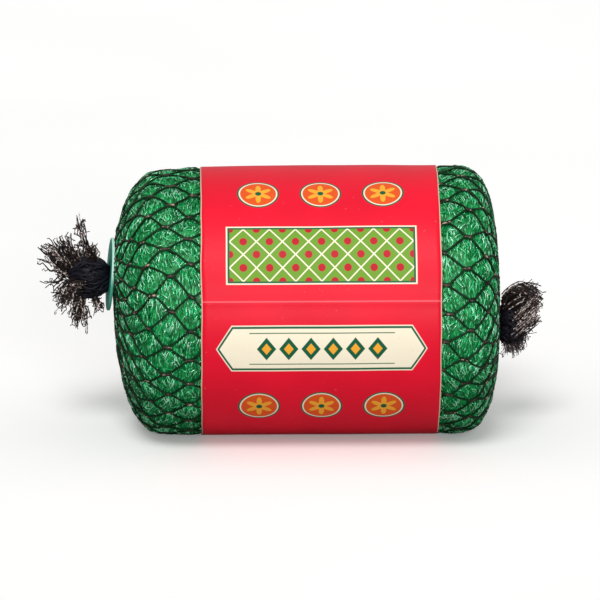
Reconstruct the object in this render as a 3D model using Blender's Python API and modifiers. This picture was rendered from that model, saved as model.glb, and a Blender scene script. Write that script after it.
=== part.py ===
"""Bird netting roll: green garden netting wound into a barrel, held in a dark diamond-mesh sleeve.

The sleeve is gathered at both ends into frayed tufts, the left one past a round washer, and a
red paper band is wrapped round the middle. Units are metres, +Z is up, X runs along the roll,
-Y is the front. The origin is the middle of the small flat spot that the roll rests on.
"""

import math
from typing import NamedTuple

import bmesh
import bpy
from mathutils import Matrix, Vector

MM = 0.001

# Skin of the roll: its outermost surface, one row for each ring of the coarse diamond mesh
SKIN_RADIUS = 68.0 * MM
FLAT_DEPTH = 2.0 * MM
AXIS_HEIGHT = SKIN_RADIUS - FLAT_DEPTH
BAND_LEFT = -53.0
BAND_RIGHT = 66.5
SECTIONS = (
    # along (mm), radius (mm), lift of the ring's centre (mm)
    (-97.6, 5.0, 14.0),
    (-97.0, 20.0, 9.0),
    (-94.6, 36.0, 3.5),
    (-90.6, 50.0, 1.0),
    (-85.2, 60.0, 0.0),
    (-78.0, 66.4, 0.0),
    (-66.5, 68.0, 0.0),
    (BAND_LEFT, 68.0, 0.0),
    (-29.0, 68.0, 0.0),
    (-5.0, 68.0, 0.0),
    (19.0, 68.0, 0.0),
    (43.0, 68.0, 0.0),
    (BAND_RIGHT, 68.0, 0.0),
    (78.5, 68.0, 0.0),
    (87.3, 64.3, 0.0),
    (93.2, 54.5, 0.0),
    (96.4, 40.0, -1.5),
    (98.0, 22.5, -4.0),
    (98.6, 5.0, -7.0),
)
BAND_FIRST_ROW = 7
BAND_LAST_ROW = 12
SLOPE_STEP = 0.02

# Slow lumps that all the layers share, much weaker under the band
LUMP = 0.7 * MM
LUMP_UNDER_BAND = 0.25 * MM
LUMP_WAVES = (
    # lobes, turn for each row, phase, share
    (2, 0.7, 0.0, 1.0),
    (3, -1.1, 1.0, 0.6),
)

# Layers, as depths below the skin, and how much deeper the band presses them
SLEEVE_OUTER = 0.5 * MM
SLEEVE_THICKNESS = 1.1 * MM
NETTING_BASE = 2.5 * MM
NIP = 1.1 * MM
MERGE = 0.01 * MM

# Diamond mesh of the sleeve, at twice its real pitch
DIAMONDS_AROUND = 14
STRAND_HALF_WIDTH = 0.8 * MM
NECK_LEFT = 3.4 * MM
NECK_RIGHT = 1.6 * MM

# Netting that swells through each diamond
GROOVE_HALF_WIDTH = 1.5 * MM
PILLOW_SLOPE = 4.0 * MM
PILLOW_LEAST_SIDE = 12.0 * MM
PILLOW_RISE = 1.6 * MM
PILLOW_CROWN = 0.8 * MM
PRESSED_RISE = 1.1 * MM
PRESSED_CROWN = 0.5 * MM

# Paper band
BAND_THICKNESS = 1.0 * MM
BAND_SIDES = 60
BAND_COLUMNS = 3

# Washer at the left end
WASHER_RADIUS = 18.5 * MM
WASHER_HOLE = 7.2 * MM
WASHER_THICKNESS = 1.0 * MM
WASHER_STANDOFF = 1.2 * MM
WASHER_TILT = math.radians(4.5)
WASHER_SIDES = 40


class Tuft(NamedTuple):
    """A gathered end: a knotted head whose facets are drawn out into tapering locks of strands."""

    outward: int
    head: Vector  # half sizes along the roll, across and up
    drop: float  # how far the head hangs below the neck
    sweep: Vector  # which way the locks bend towards their tips
    reach: float  # how far every lock reaches past the head
    reach_up: float  # what is added for a lock that points straight up
    reach_down: float
    reach_out: float


# Tufts, and what their locks have in common
TUFT_LEFT = Tuft(
    outward=-1,
    head=Vector((10.0, 11.5, 13.0)) * MM,
    drop=3.0 * MM,
    sweep=Vector((-0.15, 0.0, 0.15)),
    reach=17.0 * MM,
    reach_up=8.0 * MM,
    reach_down=0.0,
    reach_out=3.0 * MM,
)
TUFT_RIGHT = Tuft(
    outward=1,
    head=Vector((8.5, 10.0, 11.0)) * MM,
    drop=1.5 * MM,
    sweep=Vector((-0.15, 0.0, -0.8)),
    reach=4.0 * MM,
    reach_up=0.0,
    reach_down=12.0 * MM,
    reach_out=4.0 * MM,
)
TUFT_GAP = 0.4 * MM
HEAD_TURN = 0.3
LOCK_STEPS = 3
LOCK_TIP = 0.3
LOCK_PARTING = 0.5 * MM
LOCK_RIPPLE = 0.2
RIPPLES_UP = 9.0
RIPPLES_ACROSS = 7.0

COLOURS = {
    # name: (red, green, blue, roughness)
    "netting_green": (0.03, 0.33, 0.11, 0.55),
    "sleeve_dark": (0.035, 0.022, 0.016, 0.5),
    "band_red": (0.75, 0.02, 0.04, 0.35),
    "washer_teal": (0.1, 0.5, 0.42, 0.4),
}


def clear_scene():
    """Removes whatever the file holds, so that only the roll is left."""
    for obj in list(bpy.data.objects):
        bpy.data.objects.remove(obj)


def material(name):
    """The named finish as a Principled BSDF."""
    found = bpy.data.materials.get(name)
    if found:
        return found
    red, green, blue, roughness = COLOURS[name]
    made = bpy.data.materials.new(name)
    made.use_nodes = True
    shader = made.node_tree.nodes["Principled BSDF"]
    shader.inputs["Base Color"].default_value = (red, green, blue, 1.0)
    shader.inputs["Roughness"].default_value = roughness
    shader.inputs["Metallic"].default_value = 0.0
    return made


def add_object(name, bm, finish, collection):
    """Turns a bmesh into a named object with its finish."""
    bmesh.ops.recalc_face_normals(bm, faces=bm.faces)
    mesh = bpy.data.meshes.new(name)
    bm.to_mesh(mesh)
    bm.free()
    mesh.materials.append(material(finish))
    obj = bpy.data.objects.new(name, mesh)
    collection.objects.link(obj)
    return obj


def thicken(obj, thickness):
    """Gives an open skin its thickness, inwards."""
    shell = obj.modifiers.new("thickness", "SOLIDIFY")
    shell.thickness = thickness
    shell.offset = -1.0
    shell.use_even_offset = True


def smoothstep(value):
    """Eases a value from 0 to 1."""
    value = max(0.0, min(1.0, value))
    return value * value * (3.0 - 2.0 * value)


def section_at(row):
    """Place along the roll, radius and lift of the skin at a row number, which may be a fraction."""
    last = len(SECTIONS) - 1
    row = max(0.0, min(float(last), row))
    low = min(int(row), last - 1)
    part = row - low
    before = SECTIONS[max(low - 1, 0)]
    start = SECTIONS[low]
    end = SECTIONS[low + 1]
    after = SECTIONS[min(low + 2, last)]
    square = part * part
    cube = square * part
    values = []
    for a, b, c, d in zip(before, start, end, after):
        slope_in = (c - a) / 2.0
        slope_out = (d - b) / 2.0
        value = (
            (2 * cube - 3 * square + 1) * b
            + (cube - 2 * square + part) * slope_in
            + (3 * square - 2 * cube) * c
            + (cube - square) * slope_out
        )
        values.append(value * MM)
    return values


def under_band(row):
    """1 where the band lies over this row, easing to 0 a row away from it."""
    return smoothstep(row - BAND_FIRST_ROW + 1) * smoothstep(BAND_LAST_ROW + 1 - row)


def lump_at(angle, row, radius):
    """How far the skin stands out here: nothing at the very bottom and little near the ends."""
    amount = LUMP + (LUMP_UNDER_BAND - LUMP) * under_band(row)
    wave = sum(
        share * math.sin(lobes * angle + turn * row + phase)
        for lobes, turn, phase, share in LUMP_WAVES
    )
    return amount * wave * math.sin(angle / 2) ** 2 * smoothstep(radius / SKIN_RADIUS)


def roll_point(turn, row, depth):
    """A point of the roll: turn is 0 straight down and 0.25 at the front, depth is below the skin."""
    along, radius, lift = section_at(row)
    ahead = section_at(row + SLOPE_STEP)
    behind = section_at(row - SLOPE_STEP)
    slope = Vector((ahead[0] - behind[0], ahead[1] - behind[1])).normalized()
    angle = math.tau * turn
    ring = radius + lump_at(angle, row, radius) - slope.x * depth
    lowest = AXIS_HEIGHT + lift - ring + max(0.0, radius - AXIS_HEIGHT)
    height = max(AXIS_HEIGHT + lift - ring * math.cos(angle), lowest)
    return Vector((along + slope.y * depth, -ring * math.sin(angle), height))


def diamond_lattice(depth):
    """The roll's surface as diamonds: a grid whose faces are poked and whose own edges are dissolved."""
    rows = len(SECTIONS) - 1
    bm = bmesh.new()
    on_grid = bm.verts.layers.int.new("on_grid")
    bmesh.ops.create_grid(bm, x_segments=DIAMONDS_AROUND, y_segments=rows // 2, size=0.5)
    for vert in bm.verts:
        vert[on_grid] = 1
    for vert in bmesh.ops.poke(bm, faces=bm.faces)["verts"]:
        vert[on_grid] = 0
    for vert in bm.verts:
        turn = vert.co.x + 0.5
        row = (vert.co.y + 0.5) * rows
        vert.co = roll_point(turn, row, depth + NIP * under_band(row))
    bmesh.ops.remove_doubles(bm, verts=bm.verts, dist=MERGE)
    crossing = [
        edge
        for edge in bm.edges
        if len(edge.link_faces) == 2 and all(vert[on_grid] for vert in edge.verts)
    ]
    bmesh.ops.dissolve_edges(bm, edges=crossing, use_verts=False)
    bmesh.ops.recalc_face_normals(bm, faces=bm.faces)
    return bm


def is_under_band(face):
    """True for a diamond whose middle the band covers."""
    return BAND_LEFT * MM < face.calc_center_median().x < BAND_RIGHT * MM


def build_netting(collection):
    """The wound netting: one closed body that swells a little through each diamond of the sleeve."""
    bm = diamond_lattice(NETTING_BASE)
    diamonds = [face for face in bm.faces if len(face.verts) == 4]
    bmesh.ops.inset_individual(bm, faces=diamonds, thickness=GROOVE_HALF_WIDTH, use_even_offset=True)
    free = [face for face in diamonds if not is_under_band(face)]
    pressed = [face for face in diamonds if is_under_band(face)]
    for faces, rise, crown in (
        (free, PILLOW_RISE, PILLOW_CROWN),
        (pressed, PRESSED_RISE, PRESSED_CROWN),
    ):
        roomy = [face for face in faces if face.calc_area() > PILLOW_LEAST_SIDE**2]
        bmesh.ops.inset_individual(
            bm, faces=roomy, thickness=PILLOW_SLOPE, depth=rise, use_even_offset=True
        )
        bmesh.ops.poke(bm, faces=faces, offset=crown)
    bmesh.ops.holes_fill(bm, edges=bm.edges, sides=DIAMONDS_AROUND)
    return add_object("netting_roll", bm, "netting_green", collection)


def build_sleeve(collection):
    """The mesh sleeve: diamond openings cut through a thin skin, with a gathered neck at each end."""
    bm = diamond_lattice(SLEEVE_OUTER)
    diamonds = [face for face in bm.faces if len(face.verts) == 4]
    rims = [edge for edge in bm.edges if len(edge.link_faces) == 1]
    for edges, shift in (
        ([edge for edge in rims if edge.verts[0].co.x < 0], -NECK_LEFT),
        ([edge for edge in rims if edge.verts[0].co.x > 0], NECK_RIGHT),
    ):
        drawn = bmesh.ops.extrude_edge_only(bm, edges=edges)["geom"]
        ring = [item for item in drawn if isinstance(item, bmesh.types.BMVert)]
        bmesh.ops.translate(bm, verts=ring, vec=(shift, 0.0, 0.0))
        bmesh.ops.contextual_create(bm, geom=ring)
    bmesh.ops.recalc_face_normals(bm, faces=bm.faces)
    bmesh.ops.inset_individual(bm, faces=diamonds, thickness=STRAND_HALF_WIDTH, use_even_offset=True)
    bmesh.ops.delete(bm, geom=diamonds, context="FACES")
    obj = add_object("mesh_sleeve", bm, "sleeve_dark", collection)
    thicken(obj, SLEEVE_THICKNESS)
    return obj


def build_band(collection):
    """The paper band: a strip wrapped once round the sleeve, flat where it rests."""
    bm = bmesh.new()
    bmesh.ops.create_grid(bm, x_segments=BAND_SIDES, y_segments=BAND_COLUMNS, size=0.5)
    for vert in bm.verts:
        turn = vert.co.x + 0.5 + 0.5 / BAND_SIDES
        row = BAND_FIRST_ROW + (vert.co.y + 0.5) * (BAND_LAST_ROW - BAND_FIRST_ROW)
        vert.co = roll_point(turn, row, 0.0)
    bmesh.ops.remove_doubles(bm, verts=bm.verts, dist=MERGE)
    obj = add_object("paper_band", bm, "band_red", collection)
    thicken(obj, BAND_THICKNESS)
    return obj


def build_washer(collection):
    """The thin round washer that the gathered sleeve is drawn through at the left end."""
    along, _, lift = section_at(0)
    bm = bmesh.new()
    for radius in (WASHER_RADIUS, WASHER_HOLE):
        bmesh.ops.create_circle(bm, segments=WASHER_SIDES, radius=radius)
    bmesh.ops.bridge_loops(bm, edges=bm.edges)
    bmesh.ops.solidify(bm, geom=bm.faces, thickness=WASHER_THICKNESS)
    bmesh.ops.translate(bm, verts=bm.verts, vec=(0.0, 0.0, WASHER_STANDOFF))
    turn = Matrix.Rotation(-math.pi / 2 + WASHER_TILT, 4, "Y")
    bmesh.ops.transform(bm, matrix=turn, verts=bm.verts)
    bmesh.ops.translate(bm, verts=bm.verts, vec=(along, 0.0, AXIS_HEIGHT + lift))
    return add_object("end_washer", bm, "washer_teal", collection)


def lock_length(tuft, direction):
    """How far a lock reaches past the head, from the way that it points."""
    up = max(direction.z, 0.0)
    down = max(-direction.z, 0.0)
    out = max(direction.x * tuft.outward, 0.0)
    return tuft.reach + tuft.reach_up * up + tuft.reach_down * down + tuft.reach_out * out


def build_tuft(name, tuft, row, neck, collection):
    """One gathered end of the sleeve, just past its neck."""
    end, _, lift = section_at(row)
    along = end + tuft.outward * (neck - SLEEVE_OUTER + TUFT_GAP + tuft.head.x)
    centre = Vector((along, 0.0, AXIS_HEIGHT + lift - tuft.drop))
    bm = bmesh.new()
    bmesh.ops.create_icosphere(bm, subdivisions=2, radius=1.0)
    for angle, axis in ((math.pi / 2, "Y"), (HEAD_TURN, "X")):
        turn = Matrix.Rotation(angle, 3, axis)
        bmesh.ops.rotate(bm, verts=bm.verts, cent=(0, 0, 0), matrix=turn)
    drawn = [face for face in bm.faces if face.normal.x * tuft.outward > 0.0]
    directions = [face.normal.copy() for face in drawn]
    bmesh.ops.scale(bm, verts=bm.verts, vec=tuft.head)
    bmesh.ops.inset_individual(bm, faces=drawn, thickness=LOCK_PARTING, use_even_offset=True)
    taper = LOCK_TIP ** (1.0 / LOCK_STEPS)
    for face, direction in zip(drawn, directions):
        stride = lock_length(tuft, direction) / LOCK_STEPS
        up_wave = math.sin(RIPPLES_ACROSS * direction.y)
        across_wave = math.sin(RIPPLES_UP * direction.z)
        bend = tuft.sweep + Vector((0.0, across_wave, up_wave)) * LOCK_RIPPLE
        for step in range(LOCK_STEPS):
            face = bmesh.ops.extrude_discrete_faces(bm, faces=[face])["faces"][0]
            way = (direction + bend * step / LOCK_STEPS).normalized()
            bmesh.ops.translate(bm, verts=face.verts, vec=way * stride)
            middle = face.calc_center_median()
            for vert in face.verts:
                vert.co = middle + (vert.co - middle) * taper
    bmesh.ops.translate(bm, verts=bm.verts, vec=centre)
    return add_object(name, bm, "sleeve_dark", collection)


def main():
    """Builds every piece of the roll."""
    clear_scene()
    collection = bpy.data.collections.new("bird_netting_roll")
    bpy.context.scene.collection.children.link(collection)
    build_netting(collection)
    build_sleeve(collection)
    build_band(collection)
    build_washer(collection)
    build_tuft("tuft_left", TUFT_LEFT, 0, NECK_LEFT, collection)
    build_tuft("tuft_right", TUFT_RIGHT, len(SECTIONS) - 1, NECK_RIGHT, collection)


main()
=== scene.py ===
"""Looks of a small roll of bird netting: green netting in a dark mesh sleeve, with a paper band.

Units are metres, +Z is up, X runs along the roll and -Y is the front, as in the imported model.
"""

from __future__ import annotations

import logging
import math
from dataclasses import dataclass, field
from enum import Enum
from functools import cache

import bmesh
import bpy
import numpy as np
from mathutils import Matrix, Vector, noise


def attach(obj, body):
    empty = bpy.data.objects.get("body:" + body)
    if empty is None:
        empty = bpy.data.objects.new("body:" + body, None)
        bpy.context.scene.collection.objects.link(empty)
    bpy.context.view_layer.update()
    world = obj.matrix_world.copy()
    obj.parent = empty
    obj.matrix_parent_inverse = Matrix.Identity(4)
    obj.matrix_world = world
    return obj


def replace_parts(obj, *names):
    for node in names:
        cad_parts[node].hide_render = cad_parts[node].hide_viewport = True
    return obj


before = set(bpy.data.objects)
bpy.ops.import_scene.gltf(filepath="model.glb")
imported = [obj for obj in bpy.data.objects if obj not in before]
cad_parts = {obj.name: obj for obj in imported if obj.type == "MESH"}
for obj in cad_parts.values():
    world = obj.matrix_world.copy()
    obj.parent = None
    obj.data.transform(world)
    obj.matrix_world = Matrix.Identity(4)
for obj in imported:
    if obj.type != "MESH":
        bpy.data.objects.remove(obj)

LOG = logging.getLogger("bird_netting_roll")
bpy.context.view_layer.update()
MM = 0.001
BODY = "root"
MERGE = 0.0002 * MM
GRID_MERGE = 0.01 * MM

Point = tuple[float, float, float]
Gate = tuple[Point, Point]
Colour = tuple[int, int, int]
Shade = tuple[float, float, float, float]
Material = bpy.types.Material
Group = bpy.types.NodeTree
Socket = bpy.types.NodeSocket


# Small helpers


def linear(red: int, green: int, blue: int) -> Shade:
    """Turns a colour as a screen shows it, 0 to 255 each, into the shader's linear values."""
    shown = (red / 255, green / 255, blue / 255)
    return (*(v / 12.92 if v <= 0.04045 else ((v + 0.055) / 1.055) ** 2.4 for v in shown), 1.0)


def smoothstep(value: np.ndarray) -> np.ndarray:
    """Eases values from 0 to 1."""
    value = np.clip(value, 0.0, 1.0)
    return value * value * (3.0 - 2.0 * value)


def add_piece(name: str, mesh: bpy.types.Mesh, finish: Material) -> bpy.types.Object:
    """Puts a finished mesh in the scene as a piece that rides with the roll.

    Args:
        name: what the piece is called.
        mesh: its mesh, in place.
        finish: the material that covers it.

    Returns:
        The piece.
    """
    mesh.name = name
    mesh.materials.append(finish)
    mesh.shade_smooth()
    piece = bpy.data.objects.new(name, mesh)
    bpy.context.scene.collection.objects.link(piece)
    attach(piece, BODY)
    LOG.info("%s: %d faces", name, len(mesh.polygons))
    return piece


def mesh_of(bm: bmesh.types.BMesh, name: str, outwards: bool = True) -> bpy.types.Mesh:
    """Turns a bmesh into a mesh.

    Args:
        bm: the shape, which is freed.
        name: what the mesh is called.
        outwards: whether its faces are turned outwards, for a closed shape.

    Returns:
        The mesh.
    """
    if outwards:
        bmesh.ops.recalc_face_normals(bm, faces=bm.faces)
    mesh = bpy.data.meshes.new(name)
    bm.to_mesh(mesh)
    bm.free()
    return mesh


def flat_grid(columns: int, rows: int, map_name: str) -> tuple[bmesh.types.BMesh, np.ndarray]:
    """Makes a flat square grid, before it is bent to a shape, with a UV map that keeps it flat.

    Args:
        columns: cells along X.
        rows: cells along Y.
        map_name: what the UV map is called.

    Returns:
        The grid, and each vertex's place on it, from -0.5 to 0.5 both ways.
    """
    bm = bmesh.new()
    bmesh.ops.create_grid(bm, x_segments=columns, y_segments=rows, size=0.5)
    layer = bm.loops.layers.uv.new(map_name)
    half = Vector((0.5, 0.5))
    for face in bm.faces:
        for loop in face.loops:
            loop[layer].uv = loop.vert.co.xy + half
    return bm, np.array([vert.co for vert in bm.verts])


def strand_mesh(name: str, paths: np.ndarray, radii: np.ndarray, sides: int) -> bpy.types.Mesh:
    """Makes round strands along paths, each closed at both ends.

    Args:
        name: what the mesh is called.
        paths: points in metres, as strands x points x 3.
        radii: the strands' radii in metres, as strands x points.
        sides: how many sides a strand has, an even number from 4.

    Returns:
        One mesh with all the strands.
    """
    curve = bpy.data.curves.new(name, "CURVE")
    curve.dimensions = "3D"
    curve.bevel_depth = 1.0
    curve.bevel_resolution = sides // 2 - 2
    curve.use_fill_caps = True
    ones = np.ones((paths.shape[1], 1))
    for path, radius in zip(paths, radii):
        spline = curve.splines.new("POLY")
        spline.points.add(len(path) - 1)
        spline.points.foreach_set("co", np.hstack((path, ones)).ravel())
        spline.points.foreach_set("radius", radius)
    holder = bpy.data.objects.new(name, curve)
    bpy.context.scene.collection.objects.link(holder)
    graph = bpy.context.evaluated_depsgraph_get()
    made = bpy.data.meshes.new_from_object(holder.evaluated_get(graph))
    bpy.data.objects.remove(holder)
    bpy.data.curves.remove(curve)
    bm = bmesh.new()
    bm.from_mesh(made)
    bpy.data.meshes.remove(made)
    bmesh.ops.remove_doubles(bm, verts=bm.verts, dist=MERGE)
    return mesh_of(bm, name)


# Form of the roll


@dataclass
class RollForm:
    """The skin of the roll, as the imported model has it: a barrel that rests on a small flat spot.

    A place on it is given in diamonds of the sleeve: across counts whole diamonds round the roll,
    step counts half diamonds along it, and height is above the skin.
    """

    radius: float = 68.0 * MM
    axis_height: float = 66.0 * MM
    band_left: float = -53.0 * MM
    band_right: float = 66.5 * MM
    band_rows: tuple[int, int] = (7, 12)
    sections: tuple[Point, ...] = (
        # along, radius and lift of the ring's centre, in mm
        (-97.6, 5.0, 14.0),
        (-97.0, 20.0, 9.0),
        (-94.6, 36.0, 3.5),
        (-90.6, 50.0, 1.0),
        (-85.2, 60.0, 0.0),
        (-78.0, 66.4, 0.0),
        (-66.5, 68.0, 0.0),
        (-53.0, 68.0, 0.0),
        (-29.0, 68.0, 0.0),
        (-5.0, 68.0, 0.0),
        (19.0, 68.0, 0.0),
        (43.0, 68.0, 0.0),
        (66.5, 68.0, 0.0),
        (78.5, 68.0, 0.0),
        (87.3, 64.3, 0.0),
        (93.2, 54.5, 0.0),
        (96.4, 40.0, -1.5),
        (98.0, 22.5, -4.0),
        (98.6, 5.0, -7.0),
    )
    lump: float = 0.7 * MM
    lump_under_band: float = 0.25 * MM
    lump_waves: tuple[tuple[float, float, float, float], ...] = (
        # lobes, turn for each row, phase, share
        (2, 0.7, 0.0, 1.0),
        (3, -1.1, 1.0, 0.6),
    )
    columns: int = 28
    diamond_side: float = 13.815 * MM
    first_knot_along: float = -69.8 * MM
    knot_turn: float = 0.65
    samples_a_row: int = 100
    warp_waves: int = 7
    warp_lobes: int = 8
    warp_turn: float = 1.5
    warp_across: float = 0.04
    warp_along: float = 0.055
    seed: int = 11

    def __post_init__(self) -> None:
        """Samples the skin's profile, finds the lattice's steps along it and draws the warp."""
        last = len(self.sections) - 1
        self.rows = np.linspace(0.0, last, last * self.samples_a_row + 1)
        self.along, self.ring, self.lift = self.profile(self.rows)
        slope = np.stack((np.gradient(self.along), np.gradient(self.ring)))
        self.slope = slope / np.hypot(*slope)
        half_width = math.pi * self.ring / self.columns
        self.step_length = np.sqrt(self.diamond_side**2 - half_width**2)
        moved = np.hypot(np.diff(self.along), np.diff(self.ring))
        between = (self.step_length[1:] + self.step_length[:-1]) / 2
        self.steps = np.concatenate(([0.0], np.cumsum(moved / between)))
        self.steps -= np.interp(self.first_knot_along, self.along, self.steps)
        draw = np.random.default_rng(self.seed)
        self.warps = [
            (
                draw.integers(1, self.warp_lobes + 1, self.warp_waves),
                draw.uniform(-self.warp_turn, self.warp_turn, self.warp_waves),
                draw.uniform(0.0, math.tau, self.warp_waves),
            )
            for _ in range(2)
        ]

    def profile(self, rows: np.ndarray) -> np.ndarray:
        """Reads the table of sections with a smooth curve between them.

        Args:
            rows: places in the table, which may be fractions.

        Returns:
            Along, radius and lift in metres, as 3 x rows.
        """
        table = np.array(self.sections) * MM
        last = len(table) - 1
        low = np.minimum(rows.astype(int), last - 1)
        part = (rows - low)[:, None]
        before, start = table[np.maximum(low - 1, 0)], table[low]
        end, after = table[low + 1], table[np.minimum(low + 2, last)]
        square, cube = part**2, part**3
        values = (
            (2 * cube - 3 * square + 1) * start
            + (cube - 2 * square + part) * (end - before) / 2
            + (3 * square - 2 * cube) * end
            + (cube - square) * (after - start) / 2
        )
        return values.T

    def skin(
        self, turns: np.ndarray, rows: np.ndarray, height: np.ndarray, floor: float = 0.0
    ) -> np.ndarray:
        """Points over the skin.

        Args:
            turns: turns round the roll, 0 straight down and 0.25 at the front.
            rows: places in the table of sections.
            height: metres above the skin.
            floor: the lowest that a point may lie.

        Returns:
            The points, with x, y and z in the last axis.
        """
        along, radius, lift, slope_x, slope_y = (
            np.interp(rows, self.rows, column)
            for column in (self.along, self.ring, self.lift, *self.slope)
        )
        angle = math.tau * turns
        first, last = self.band_rows
        pressed = smoothstep(rows - first + 1) * smoothstep(last + 1 - rows)
        amount = self.lump + (self.lump_under_band - self.lump) * pressed
        wave = sum(
            share * np.sin(lobes * angle + turn * rows + phase)
            for lobes, turn, phase, share in self.lump_waves
        )
        lump = amount * wave * np.sin(angle / 2) ** 2 * smoothstep(radius / self.radius)
        ring = radius + lump + slope_x * height
        lowest = self.axis_height + lift - ring + np.maximum(0.0, radius - self.axis_height)
        level = np.maximum(self.axis_height + lift - ring * np.cos(angle), lowest)
        level = np.maximum(level, floor)
        return np.stack((along - slope_y * height, -ring * np.sin(angle), level), axis=-1)

    def warp(self, which: int, across: np.ndarray, step: np.ndarray) -> np.ndarray:
        """A slow unevenness of the lattice, 0 for the one round the roll or 1 for the one along it."""
        swing = math.tau * across / self.columns
        return sum(np.sin(n * swing + m * step + phase) for n, m, phase in zip(*self.warps[which]))

    def place(
        self, across: np.ndarray, step: np.ndarray, height: np.ndarray, floor: float = 0.0
    ) -> np.ndarray:
        """Points over the skin, from a place in the sleeve's uneven lattice.

        Args:
            across: diamonds round the roll; a knot has a whole number at an even step.
            step: half diamonds along the roll.
            height: metres above the skin.
            floor: the lowest that a point may lie.

        Returns:
            The points, with x, y and z in the last axis.
        """
        uneven = across + self.knot_turn + self.warp_across * self.warp(0, across, step)
        rows = np.interp(step + self.warp_along * self.warp(1, across, step), self.steps, self.rows)
        return self.skin(uneven / self.columns, rows, height, floor)

    def radius_at(self, step: np.ndarray) -> np.ndarray:
        """The ring's radius at a step."""
        return np.interp(step, self.steps, self.ring)

    def past_band(self, step: np.ndarray) -> np.ndarray:
        """How far a step lies outside the band's edges in metres, below 0 under the band."""
        along = np.interp(step, self.steps, self.along)
        return np.maximum(self.band_left - along, along - self.band_right)


# Shader helpers


class NodeSheet:
    """One node tree, with short ways to add and join its nodes."""

    def __init__(self, tree: Group) -> None:
        """Keeps the tree that the other methods add to."""
        self.tree = tree

    def add(
        self, kind: str, feeds: dict[int | str, object] | None = None, **settings: object
    ) -> bpy.types.Node:
        """Adds a node.

        Args:
            kind: Blender's name for the node, without its first part, ShaderNode.
            feeds: what goes into its inputs, by their names or numbers.
            settings: properties of the node.

        Returns:
            The node.
        """
        node = self.tree.nodes.new(f"ShaderNode{kind}")
        for name, value in settings.items():
            setattr(node, name, value)
        for name, value in (feeds or {}).items():
            self.feed(node.inputs[name], value)
        return node

    def feed(self, socket: Socket, value: object) -> None:
        """Gives a socket a link or a plain value.

        Args:
            socket: the input.
            value: another node's output, or a number, vector or colour.
        """
        if isinstance(value, Socket):
            self.tree.links.new(value, socket)
        else:
            socket.default_value = value

    def place(self) -> Socket:
        """The coordinates of the piece, in metres."""
        return self.add("TexCoord").outputs["Object"]

    def math(self, operation: str, *values: object) -> Socket:
        """The result of a Math node with its inputs in order."""
        return self.add("Math", dict(enumerate(values)), operation=operation).outputs[0]

    def less(self, value: object, other: object) -> Socket:
        """A value less another."""
        return self.math("SUBTRACT", value, other)

    def times(self, value: object, other: object) -> Socket:
        """Two values multiplied."""
        return self.math("MULTIPLY", value, other)

    def gap(self, value: object, other: object) -> Socket:
        """How far a value is from another."""
        return self.math("ABSOLUTE", self.less(value, other))

    def mix(self, factor: object, first: object, second: object) -> Socket:
        """Two colours mixed, where the factor says how much of the second shows."""
        return self.add("Mix", {0: factor, 6: first, 7: second}, data_type="RGBA").outputs[2]

    def ramp(
        self, value: object, low: object, high: object, to_low: float = 0.0, to_high: float = 1.0
    ) -> Socket:
        """A value mapped from one range to another with soft ends."""
        feeds = dict(enumerate((value, low, high, to_low, to_high)))
        return self.add("MapRange", feeds, interpolation_type="SMOOTHSTEP").outputs[0]

    def noise(
        self, place: object, scale: object, detail: float = 2.0, roughness: float = 0.5
    ) -> Socket:
        """Noise about 0.5, with as many spots as scale says for each unit of the place."""
        feeds = {"Vector": place, "Scale": scale, "Detail": detail, "Roughness": roughness}
        return self.add("TexNoise", feeds).outputs["Fac"]

    def relief(self, shader: bpy.types.Node, height: object, strength: float, depth: float) -> None:
        """Gives a shader's surface a fine relief."""
        bump = self.add("Bump", {"Strength": strength, "Distance": depth, "Height": height})
        self.feed(shader.inputs["Normal"], bump.outputs["Normal"])

    def marks(self, place: object, patch: float, fleck: float, share: float) -> tuple[Socket, Socket]:
        """Places the group of slow patches and small flecks.

        Args:
            place: the coordinates that it reads.
            patch: a patch's size in metres.
            fleck: a fleck's size in metres.
            share: how much of the surface has flecks, from 0 to 1.

        Returns:
            The patches' value and the flecks' mask.
        """
        feeds = {"Place": place, "Patch Size": patch, "Fleck Size": fleck, "Fleck Share": share}
        node = self.add("Group", node_tree=flecks_group())
        for name, value in feeds.items():
            self.feed(node.inputs[name], value)
        return node.outputs["Patch"], node.outputs["Fleck"]


PATCH_RANGE = (0.32, 0.68)
FLECK_TOP = 0.75
FLECK_DROP = 0.35
FLECK_EDGE = 0.06


@cache
def flecks_group() -> Group:
    """Small bright flecks and slow patches, which every plastic and the paper share: on the plastics the
    flecks are painted glints, while on the paper and the washer they mark scuffs and wear.

    Returns:
        A group that gives a slow patch value and a mask of flecks.
    """
    tree = bpy.data.node_groups.new("flecks", "ShaderNodeTree")
    for label, way, kind in (
        ("Place", "INPUT", "NodeSocketVector"),
        ("Patch Size", "INPUT", "NodeSocketFloat"),
        ("Fleck Size", "INPUT", "NodeSocketFloat"),
        ("Fleck Share", "INPUT", "NodeSocketFloat"),
        ("Patch", "OUTPUT", "NodeSocketFloat"),
        ("Fleck", "OUTPUT", "NodeSocketFloat"),
    ):
        tree.interface.new_socket(label, in_out=way, socket_type=kind)
    sheet = NodeSheet(tree)
    given = tree.nodes.new("NodeGroupInput").outputs
    result = tree.nodes.new("NodeGroupOutput").inputs
    patches, flecks = (
        sheet.noise(given["Place"], sheet.math("DIVIDE", 1.0, given[size]))
        for size in ("Patch Size", "Fleck Size")
    )
    sheet.feed(result["Patch"], sheet.ramp(patches, *PATCH_RANGE))
    edge = sheet.less(FLECK_TOP, sheet.times(given["Fleck Share"], FLECK_DROP))
    sheet.feed(result["Fleck"], sheet.ramp(flecks, edge, sheet.math("ADD", edge, FLECK_EDGE)))
    return tree


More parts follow.
